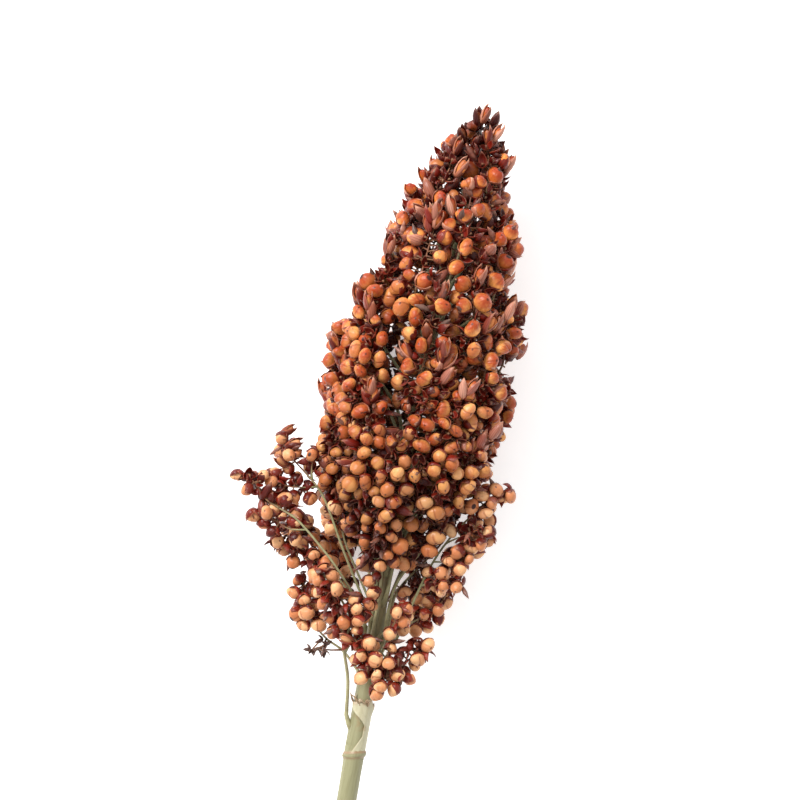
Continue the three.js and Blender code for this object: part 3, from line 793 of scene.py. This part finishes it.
# For each kind: how far its husks reach round the grain, their width, flare and length, and the size of the
# ball that they wrap.
HUSK_FORMS = {
    "bare": (1.75, 1.05, 0.16, 1.0, 0.97),
    "half": (2.15, 1.4, 0.16, 1.04, 0.97),
    "closed": (2.75, 1.5, 0.22, 2.15, 0.64),
    "empty": (1.95, 0.84, 0.45, 1.35, 0.7),
}


def add_husks(build, spikelet):
    kind = spikelet.kind
    full_reach, wide, full_flare, length, ball = HUSK_FORMS[kind]
    draw = spikelet.draw
    basis = basis_of(spikelet.heading, draw[1] * 2 * np.pi)
    size = max(spikelet.size, 0.9 * GRAIN_RADIUS)
    radius = size * ball
    if spikelet.arm.dead:
        radius *= DEAD_SIZE
    centre = spikelet.centre
    if kind == "empty":
        centre = centre - spikelet.heading * 0.3 * size
    high = graded(COLOUR, centre[1])
    count = 3 if kind == "empty" and spikelet.what == "grain" else 2
    for k in range(count):
        wobble = rng.random(3)
        reach = full_reach * (0.9 + 0.2 * wobble[0])
        flare = full_flare * (0.5 + 1.1 * wobble[1])
        around = 2 * np.pi * k / count + 0.5 * (wobble[2] - 0.5)
        points, local = husk_points(radius, centre, basis, around, reach, wide, flare, length)
        lift(points, 0.02)
        faded = wobble[0] * (0.25 + 0.75 * high) if kind != "empty" else 0.3 * wobble[0]
        if kind == "closed":
            faded = 0.25 + 0.75 * wobble[0] * (0.3 + 0.7 * high)
        # Painted shade: husks deep in the head get lower fade and draw values, which makes them darker.
        shade = 1 - 0.9 * painted_shade_depth(spikelet.arm, centre)
        build.add(points, HUSK_FACES, local, (faded * shade, wobble[1] * shade, high, spikelet.arm.dead))


def add_sterile(build, spikelet):
    """The slender barren spikelet that stands beside a grain, greyed by chance."""
    heading = unit(spikelet.heading + 0.5 * unit(rng.standard_normal(3)) + np.array([0, 0.25, 0]))
    beside = basis_of(spikelet.heading, rng.random() * 2 * np.pi)[:, 0]
    start = spikelet.centre - spikelet.heading * 0.8 * spikelet.size + beside * 1.5
    up = float(smooth((spikelet.centre[1] - 120) / 60))
    length = 3.6 + 1.4 * rng.random() + 1.3 * up
    share = np.array([0, 0.25, 0.55, 0.85, 1.0])
    path = start + heading * length * share[:, None] + beside * (0.9 * share**2)[:, None]
    lift(path, 0.8)
    radii = np.array([0.25, 0.62, 0.72, 0.34, 0.06]) * (1 + 0.35 * up)
    high = graded(COLOUR, spikelet.centre[1])
    tube(build, path, radii, 6, (0.25 + 0.5 * rng.random(), rng.random(), high, rng.random()))


def add_pedicel(build, spikelet):
    base = spikelet.centre - spikelet.heading * 0.85 * spikelet.size
    foot = spikelet.foot
    middle = 0.5 * (base + foot) + 0.35 * unit(base - foot) + 0.25 * rng.standard_normal(3)
    path = np.vstack([foot, 0.6 * middle + 0.4 * foot, 0.7 * middle + 0.3 * base, base])
    lift(path[1:], 0.4)
    # Pedicels are reddish brown, and deep in the head they are browner and darker as painted shade.
    worn = 0.75 + 0.25 * painted_shade_depth(spikelet.arm, base)
    tube(build, path, [0.3, 0.26, 0.26, 0.42], 5, (worn, max(rng.random(), 4 * worn - 3), 0, 0))


def add_stem(build, arm):
    count = max(8, int(arm.length / 2.2))
    share = np.linspace(0, 1, count)
    path = arm.curve.at(share)
    start = path[0]
    if not arm.side:
        off = start - axis_at(start[1])
        feet = [axis_at(start[1] - 5.5) + off * 0.3, axis_at(start[1] - 2.6) + off * 0.72]
        path = np.vstack([feet, path])
        share = np.concatenate([[0, 0], share])
    if arm.kind is DENSE:
        middle = axis_at(path[:, 1])[:, 0]
        rightmost = middle + along(RIGHT_FLANK, path[:, 1]) - 2.5
        leftmost = middle - along(LEFT_FLANK, path[:, 1]) + 2.5
        path[:, 0] = np.clip(path[:, 0], leftmost, rightmost)
    radii = mix(0.56, 0.4, share / max(arm.bare, 0.01))
    radii = np.where(share > arm.bare, mix(0.4, 0.2, (share - arm.bare) / (1 - arm.bare)), radii)
    if not arm.side:
        radii[:3] = (1.0, 0.8, 0.66)
    if arm.kind is SPARSE and arm.owner != "loose_front_left":
        radii = radii * 0.74
    if arm.side:
        radii = radii * 0.8
    sides = 8
    brown = np.clip((share - arm.bare * 0.6) / 0.5, 0, 1)
    if arm.dead:
        brown = np.ones_like(brown)
    tone = np.column_stack([brown, np.full_like(share, arm.turn / 360), 0 * share, 0 * share])
    tone = np.vstack([np.repeat(tone, sides, axis=0), tone[0], tone[-1]])
    tube(build, path, radii, sides, tone)


def srgb(red, green, blue):
    """An sRGB colour of 0 to 255 as linear light."""
    parts = [c / 255 for c in (red, green, blue)]
    linear = [c / 12.92 if c <= 0.04045 else ((c + 0.055) / 1.055) ** 2.4 for c in parts]
    return (*linear, 1.0)


class Shader:
    """Short ways to add nodes to a material."""

    def __init__(self, name, roughness, specular):
        self.material = bpy.data.materials.new(name)
        self.material.use_nodes = True
        self.nodes = self.material.node_tree.nodes
        self.links = self.material.node_tree.links
        self.surface = self.nodes["Principled BSDF"]
        self.surface.inputs["Roughness"].default_value = roughness
        self.surface.inputs["Specular IOR Level"].default_value = specular

    def node(self, kind, **values):
        """A new node, with a value or another node's socket put into each named input."""
        node = self.nodes.new("ShaderNode" + kind)
        for name, value in values.items():
            self.put(node.inputs[name], value)
        return node

    def put(self, socket, value):
        if isinstance(value, bpy.types.NodeSocket):
            self.links.new(value, socket)
        else:
            socket.default_value = value

    def attribute(self, name, output):
        node = self.node("Attribute")
        node.attribute_name = name
        return node.outputs[output]

    def tone(self):
        return self.node("SeparateColor", Color=self.attribute("tone", "Color")).outputs

    def axes(self, vector):
        return self.node("SeparateXYZ", Vector=vector).outputs

    def math(self, operation, a, b=0.0):
        node = self.node("Math")
        node.operation = operation
        self.put(node.inputs[0], a)
        self.put(node.inputs[1], b)
        return node.outputs[0]

    def times(self, a, b):
        return self.math("MULTIPLY", a, b)

    def span(self, value, low, high, to_low=0.0, to_high=1.0):
        ends = {"From Min": low, "From Max": high, "To Min": to_low, "To Max": to_high}
        node = self.node("MapRange", Value=value, **ends)
        node.interpolation_type = "SMOOTHSTEP"
        return node.outputs["Result"]

    def blend(self, share, a, b):
        """From one colour to another, each a socket or an sRGB colour of 0 to 255."""
        node = self.node("Mix", Factor=share)
        node.data_type = "RGBA"
        for socket, colour in ((node.inputs[6], a), (node.inputs[7], b)):
            self.put(socket, srgb(*colour) if isinstance(colour, tuple) else colour)
        return node.outputs[2]

    def ramp(self, value, colour, *steps):
        """A colour that changes to the next one over each stretch of a value."""
        for low, high, following in steps:
            colour = self.blend(self.span(value, low, high), colour, following)
        return colour

    def noise(self, vector, scale, detail=2.0, roughness=0.5):
        values = {"Vector": vector, "Scale": scale, "Detail": detail, "Roughness": roughness}
        return self.node("TexNoise", **values).outputs["Fac"]

    def mapped(self, vector, scale, shift=(0, 0, 0)):
        return self.node("Mapping", Vector=vector, Scale=scale, Location=shift).outputs["Vector"]

    def place(self):
        return self.node("TexCoord").outputs["Object"]

    def bump(self, height, strength, distance):
        node = self.node("Bump", Height=height, Strength=strength, Distance=distance)
        self.links.new(node.outputs["Normal"], self.surface.inputs["Normal"])

    def colour(self, value):
        self.links.new(value, self.surface.inputs["Base Color"])


def grain_material():
    s = Shader("grain", roughness=0.36, specular=0.3)
    draw, other, high = s.tone()
    around = s.attribute("local", "Vector")
    local = s.axes(around)
    # Peach in the loose sprays, tan above them, orange red at the tip. Low down a grain's end is its palest
    # part and it darkens towards its foot, partly as painted shade from its husks; high up its end is its
    # reddest.
    pale = [(0.15, 0.28, (204, 140, 80)), (0.4, 0.62, (238, 166, 92)), (0.66, 1.0, (240, 136, 60))]
    pale = s.ramp(high, (220, 165, 117), *pale)
    deep = [(0.15, 0.28, (142, 66, 28)), (0.35, 0.55, (166, 66, 26)), (0.7, 0.95, (158, 46, 18))]
    deep = s.ramp(high, (188, 108, 64), *deep)
    end_red = s.span(high, 0.3, 0.46, -1.0, 1.0)
    streaks = s.noise(s.mapped(around, (3.2, 3.2, 0.8), s.times(draw, 40.0)), 1.0, 3.0, 0.6)
    turned = s.math("ADD", s.times(local[2], end_red), s.times(streaks, 1.3))
    body = s.blend(s.span(turned, 0.5, 1.6), pale, deep)
    # A share of the grains is darker and redder as a whole, and some are paler.
    redder = s.times(s.span(draw, 0.4, 1.0), 0.62)
    body = s.blend(redder, body, s.blend(s.span(high, 0.0, 0.5), (196, 108, 58), (156, 56, 18)))
    lighter = s.times(s.span(other, 0.62, 1.0), 0.5)
    body = s.blend(lighter, body, s.blend(s.span(high, 0.0, 0.8), (240, 196, 148), (238, 164, 92)))
    # The fold across some of the grains, one side of it darker, with a dark line along the fold that is
    # painted shade, and the dark remnant at a grain's end.
    across = s.math("SUBTRACT", s.math("ADD", local[0], s.times(local[1], 0.3)), CREASE_AT)
    darker_side = s.times(s.span(across, 0.02, 0.3, 0.45, 0.0), s.span(local[2], -0.5, 0.4))
    body = s.blend(darker_side, body, s.blend(high, (176, 88, 44), (128, 36, 12)))
    crease = s.span(s.math("ABSOLUTE", across), 0.0, 0.15, 1.0, 0.0)
    crease = s.times(crease, s.span(local[2], -0.3, 0.5))
    crease = s.times(crease, s.span(other, 0.3, 0.8))
    body = s.blend(s.times(crease, 0.42), body, (122, 50, 24))
    # Painted shade at the grain's foot, where it sits in its husks.
    foot = s.span(local[2], -0.9, -0.4, 0.75, 0.0)
    body = s.blend(foot, body, (108, 38, 20))
    small = s.times(s.span(local[2], 0.96, 0.985), 0.8)
    wide = s.times(s.span(local[2], 0.9, 0.96), s.span(draw, 0.84, 0.86))
    body = s.blend(s.math("MAXIMUM", small, wide), body, (48, 16, 10))
    freckle = s.span(s.noise(s.place(), 1900, 2.0), 0.6, 0.7)
    body = s.blend(s.times(freckle, 0.25), body, (120, 50, 26))
    # Painted shade: the grains that sit deeper in the head are darkened.
    body = s.blend(s.times(s.attribute("tone", "Alpha"), 0.72), body, (84, 32, 15))
    s.colour(body)
    wrinkles = s.math("ADD", s.times(s.noise(s.place(), 800, 3.0), 0.6), streaks)
    s.bump(s.math("SUBTRACT", wrinkles, s.math("MAXIMUM", crease, wide)), 0.7, 0.0002)
    return s.material


def husk_material():
    s = Shader("husk", roughness=0.3, specular=0.3)
    # For husks deep in the head, faded and draw come in lowered as painted shade, which darkens them.
    faded, draw, high = s.tone()
    around = s.attribute("local", "Vector")
    local = s.axes(around)
    dark = s.blend(draw, (54, 7, 4), (122, 26, 12))
    dark = s.blend(s.span(high, 0.05, 0.3), s.blend(draw, (82, 22, 16), (140, 44, 28)), dark)
    worn = s.blend(draw, (166, 90, 62), (230, 172, 146))
    body = s.blend(s.span(faded, 0.3, 1.0), dark, worn)
    streaks = s.noise(s.mapped(around, (7.0, 1.6, 1.0), s.times(draw, 40.0)), 1.0, 2.0)
    stripe = s.math("SINE", s.times(local[0], 21.0))
    stripe = s.times(s.span(stripe, 0.2, 1.0), 0.45)
    body = s.blend(stripe, body, s.blend(faded, (36, 7, 6), (104, 44, 34)))
    streak = s.blend(faded, (112, 34, 20), (160, 84, 58))
    body = s.blend(s.span(streaks, 0.5, 0.75, 0.0, 0.4), body, streak)
    # Lighter rims and tips: partly the husks' own paler margins, partly painted highlight.
    edge = s.span(s.math("ABSOLUTE", local[0]), 0.72, 1.0)
    body = s.blend(s.times(edge, s.span(faded, 0.05, 0.6, 0.12, 0.55)), body, (200, 122, 86))
    tip = s.times(s.span(local[1], 0.72, 1.0), s.span(faded, 0.05, 0.6, 0.2, 0.75))
    body = s.blend(s.times(tip, s.span(streaks, 0.3, 0.6)), body, (220, 164, 132))
    # The withered husks are grey.
    body = s.blend(s.times(s.attribute("tone", "Alpha"), 0.8), body, (92, 76, 68))
    s.colour(body)
    s.bump(s.times(s.math("ADD", stripe, streaks), -1.0), 0.6, 0.00012)
    return s.material


def stem_material():
    s = Shader("stem", roughness=0.5, specular=0.3)
    brown, draw, _ = s.tone()
    green = s.blend(draw, (134, 132, 94), (168, 162, 124))
    reddish = s.blend(draw, (134, 88, 60), (92, 50, 38))
    body = s.blend(s.span(brown, 0.15, 0.9), green, reddish)
    mottle = s.noise(s.place(), 700, 3.0)
    body = s.blend(s.span(mottle, 0.45, 0.7, 0.0, 0.32), body, (96, 72, 46))
    s.colour(body)
    s.bump(mottle, 0.4, 0.00008)
    return s.material


def stalk_material():
    s = Shader("stalk", roughness=0.42, specular=0.4)
    ripe, pith, ring = s.tone()
    sheath = s.axes(s.attribute("local", "Vector"))[0]
    bare = s.blend(sheath, (142, 139, 105), (186, 181, 151))
    base = s.blend(ripe, bare, (128, 104, 68))
    fibres = s.noise(s.mapped(s.place(), (1.0, 0.08, 1.0)), 1500, 3.0, 0.6)
    lines = s.blend(ripe, s.blend(sheath, (112, 106, 70), (160, 152, 116)), (84, 62, 40))
    base = s.blend(s.span(fibres, 0.4, 0.75, 0.0, 0.4), base, lines)
    blotch = s.noise(s.place(), 150, 4.0, 0.62)
    base = s.blend(s.span(blotch, 0.56, 0.72, 0.0, 0.5), base, (140, 108, 68))
    base = s.blend(s.times(ring, 0.75), base, (150, 110, 84))
    cut_face = s.blend(s.span(fibres, 0.4, 0.6), (226, 214, 180), (204, 186, 146))
    s.colour(s.blend(pith, base, cut_face))
    s.bump(fibres, 0.5, 0.00012)
    return s.material


grain_look = grain_material()
husk_look = husk_material()
stem_look = stem_material()
stalk_look = stalk_material()


def slot_of(node):
    if node.startswith("loose_"):
        return "lower_grain"
    number = int(node[-2:]) if node.startswith("dense_branch_") else DENSE_BRANCHES
    return "upper_grain" if number >= LOWEST_UPPER_BRANCH else "middle_grain"


def finish_piece(piece, slot_name, *nodes):
    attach(piece, "root")
    if nodes:
        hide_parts(*nodes)


stems = Build()
for arm in arms:
    add_stem(stems, arm)
for owner in dict.fromkeys(arm.owner for arm in arms):
    grains, husks = Build(), Build()
    for spikelet in (s for s in spikelets if s.arm.owner == owner):
        if spikelet.kind != "empty":
            add_grain(grains, spikelet)
        add_husks(husks, spikelet)
        barren = spikelet.draw[2] < graded(BARREN_SHARE, spikelet.centre[1])
        if barren and spikelet.what == "grain" and not spikelet.arm.dead:
            add_sterile(husks, spikelet)
        add_pedicel(stems, spikelet)
    if grains.count:
        finish_piece(grains.mesh(owner + "_grains", grain_look), slot_of(owner), owner)
    if husks.count:
        finish_piece(husks.mesh(owner + "_husks", husk_look), "husk", owner)
finish_piece(stems.mesh("stems", stem_look), "stem")

# The stalk: ribbed, with its node, and the torn remains of the top leaf's sheath round it.
STALK_SIDES = 36
STALK_STEP = 1.2
STALK_TIP = 184.6
NODE_Y = 13.7
NODE_TILT = 0.9
NODE_STEPS = np.linspace(11, 16.4, 22)
# The coloured rings over and under the node: the height, width and strength of each.
NODE_RINGS = ((14.5, 0.4, 1), (12.7, 0.35, 0.7))
# The sheath's free edge across the front: heights, and turns round the stalk with 90 facing the camera.
SHEATH_EDGE = [[13.8, 117], [16.5, 90], [19.6, 62], [22.9, 63], [24.4, 84], [27.0, 134], [32, 152]]
SHEATH_BACK = -150
SHEATH_RADIUS = 3.12
SHEATH_FOOT = 14.0
SHEATH_RIM = 30.0
SHEATH_ROWS = 28
SHEATH_SIDES = 48
SHEATH_THICKNESS = 0.16
TUFT_STRANDS = 13
TUFT_Y = 28.6
TUFT_RADIUS = 3.3


def node_tilt(y, turns):
    """How far the node's ring stands up its right side."""
    return NODE_TILT * np.cos(turns) * hump(y, NODE_Y, 2.5)


def stalk_rows(stations, y):
    """Rings of the stalk at heights y, with faint ribs, and how strongly the node's colour marks them."""
    turns = 2 * np.pi * np.arange(STALK_SIDES) / STALK_SIDES
    level = y[:, None] - node_tilt(y[:, None], turns[None, :])
    ribs = 1 + 0.018 * np.sin(9 * turns)[None, :] + 0.012 * np.sin(5 * turns[None, :] + 0.03 * y[:, None])
    radius = along(stations, level) * ribs
    ring = outward(turns)[None, :, :]
    mark = sum(strength * hump(level, height, width) for height, width, strength in NODE_RINGS)
    return axis_at(y)[:, None, :] + ring * radius[..., None], np.clip(mark, 0, 1)


def add_stalk(build):
    top = STALK[-1][0]
    y = np.unique(np.concatenate([np.arange(CUT_Y, top, STALK_STEP), NODE_STEPS, [top]]))
    rows, mark = stalk_rows(STALK, y)
    ripe = np.repeat(smooth((y - 42) / 42), STALK_SIDES)
    tone = np.column_stack([ripe, 0 * ripe, mark.ravel(), 0 * ripe])
    build.add(rows.reshape(-1, 3), ring_faces(len(y), STALK_SIDES)[:, ::-1], (0, 0, 0), tone)
    fan = np.array([(k, (k + 1) % STALK_SIDES, STALK_SIDES) for k in range(STALK_SIDES)])
    build.add([*rows[0], axis_at(CUT_Y)], fan, (0, 0, 0), (1, 1, 0, 0))
    build.add([*rows[-1], axis_at(STALK_TIP)], fan[:, [1, 0, 2]], (0, 0, 0), (1, 0, 0, 0))


def add_sheath(build):
    """The remains of the top leaf's sheath: open in front, its free edge curling across, with a worn rim."""
    share = np.linspace(0, 1, SHEATH_ROWS)[:, None]
    around = np.linspace(0, 1, SHEATH_SIDES)[None, :]
    rim = SHEATH_RIM + 0.6 * np.sin(11 * around) + 0.5 * np.sin(29 * around + 1) + 0.4 * np.sin(53 * around)
    y = SHEATH_FOOT + (rim - SHEATH_FOOT) * share
    turn = np.radians(SHEATH_BACK + (along(SHEATH_EDGE, y) - SHEATH_BACK) * around)
    y = y + NODE_TILT * np.cos(turn) * (1 - smooth(share / 0.3))
    curl = smooth((around - 0.8) / 0.2) * (0.14 + 0.55 * smooth((y - 21) / 4))
    bump = 0.5 * hump(turn, 0, 0.5) * hump(y, TUFT_Y, 1.6)
    radius = SHEATH_RADIUS + 0.12 * smooth((y - 15) / 8) + curl + bump + 0.03 * np.sin(60 * around)
    ring = outward(turn)
    layers = []
    for thickness in (0.0, -SHEATH_THICKNESS):
        layers.append((axis_at(y) + ring * (radius + thickness)[..., None]).reshape(-1, 3))
    worn = 0.75 * smooth((share - 0.9) / 0.1) + 0.5 * smooth((around - 0.985) / 0.015) * (1 - share)
    worn = np.clip(worn, 0, 1).ravel()
    tone = np.column_stack([0 * worn, 0 * worn, worn, 0 * worn])
    faces = scale_faces(SHEATH_SIDES, SHEATH_ROWS)[:, ::-1]
    build.add(np.vstack(layers), faces, (1, 0, 0), np.vstack([tone, tone]))


def add_tuft(build):
    """Short frayed fibres on the sheath's rim."""
    share = np.array([0, 0.35, 0.7, 1.0])
    for _ in range(TUFT_STRANDS):
        draw = rng.random(6)
        turn = np.radians(mix(60, 158, draw[0]))
        out = outward(turn)
        beside = np.array([-out[2], 0, out[0]])
        foot = axis_at(TUFT_Y + 1.2 * draw[1]) + out * TUFT_RADIUS
        way = unit(np.array([0, 0.8, 0]) + out * (0.1 + 0.6 * draw[2]) + beside * (draw[3] - 0.4) * 2.6)
        bend = (beside * (draw[4] - 0.5) * 2.4 - out * 0.3) * 1.2
        path = foot + way * (1.0 + 2.4 * draw[5] ** 2) * share[:, None] + bend * (share**2)[:, None]
        radii = np.array([0.34, 0.3, 0.2, 0.05]) * (0.7 + 0.6 * draw[1])
        tube(build, path, radii, 5, (0, 0, 0.5 + 0.5 * draw[2], 0))


stalk = Build()
add_stalk(stalk)
add_sheath(stalk)
add_tuft(stalk)
finish_piece(stalk.mesh("stalk_skin", stalk_look), "stalk", "stalk")

# The floor, the light and the camera.
CAMERA_DISTANCE = 1.3
CAMERA_WIDTH = 0.240
SENSOR_WIDTH = 36
CAMERA_CENTRE = np.array([-8.6, 120.6, AXIS_HEIGHT])
AXIS_LEAN = math.radians(11.2)

FLOOR_HALF = 3.0
FLOOR_COLOUR = (0.9, 0.9, 0.9, 1)
FLOOR_GLOW = 0.45
ROOM_LIGHT = 0.88
KEY_PLACE = Vector((-0.8, 0.75, 0.95))
KEY_TARGET = Vector((0, 0, 0.02))
KEY_SIZE = 0.6
KEY_POWER = 27

floor_data = bpy.data.meshes.new("floor")
corners = [(x * FLOOR_HALF, y * FLOOR_HALF, 0) for x, y in ((-1, -1), (1, -1), (1, 1), (-1, 1))]
floor_data.from_pydata(corners, [], [(0, 1, 2, 3)])
floor = add_object("floor", floor_data)
floor_look = Shader("floor", roughness=0.9, specular=0.1)
floor_values = {"Base Color": FLOOR_COLOUR, "Emission Color": (1, 1, 1, 1), "Emission Strength": FLOOR_GLOW}
for name, value in floor_values.items():
    floor_look.surface.inputs[name].default_value = value
floor_data.materials.append(floor_look.material)

world = bpy.data.worlds.new("studio")
scene.world = world
world.use_nodes = True
sky = world.node_tree.nodes["Background"].inputs
sky["Color"].default_value = (1, 1, 1, 1)
sky["Strength"].default_value = ROOM_LIGHT

# One large light from the upper left of the photograph, and a bright room all round.
key_data = bpy.data.lights.new("key", "AREA")
key_data.shape = "DISK"
key_data.size = KEY_SIZE
key_data.energy = KEY_POWER
key = add_object("key", key_data)
facing = (KEY_TARGET - KEY_PLACE).to_track_quat("-Z", "Y").to_matrix().to_4x4()
key.matrix_world = Matrix.Translation(KEY_PLACE) @ facing

camera_data = bpy.data.cameras.new("camera")
camera_data.sensor_width = SENSOR_WIDTH
camera_data.lens = SENSOR_WIDTH * CAMERA_DISTANCE / CAMERA_WIDTH
camera = add_object("camera", camera_data)
eye = Vector(to_part(CAMERA_CENTRE)) + Vector((0, 0, CAMERA_DISTANCE))
camera.matrix_world = Matrix.Translation(eye) @ Matrix.Rotation(AXIS_LEAN, 4, "Z")
scene.camera = camera
scene.view_settings.view_transform = "Standard"
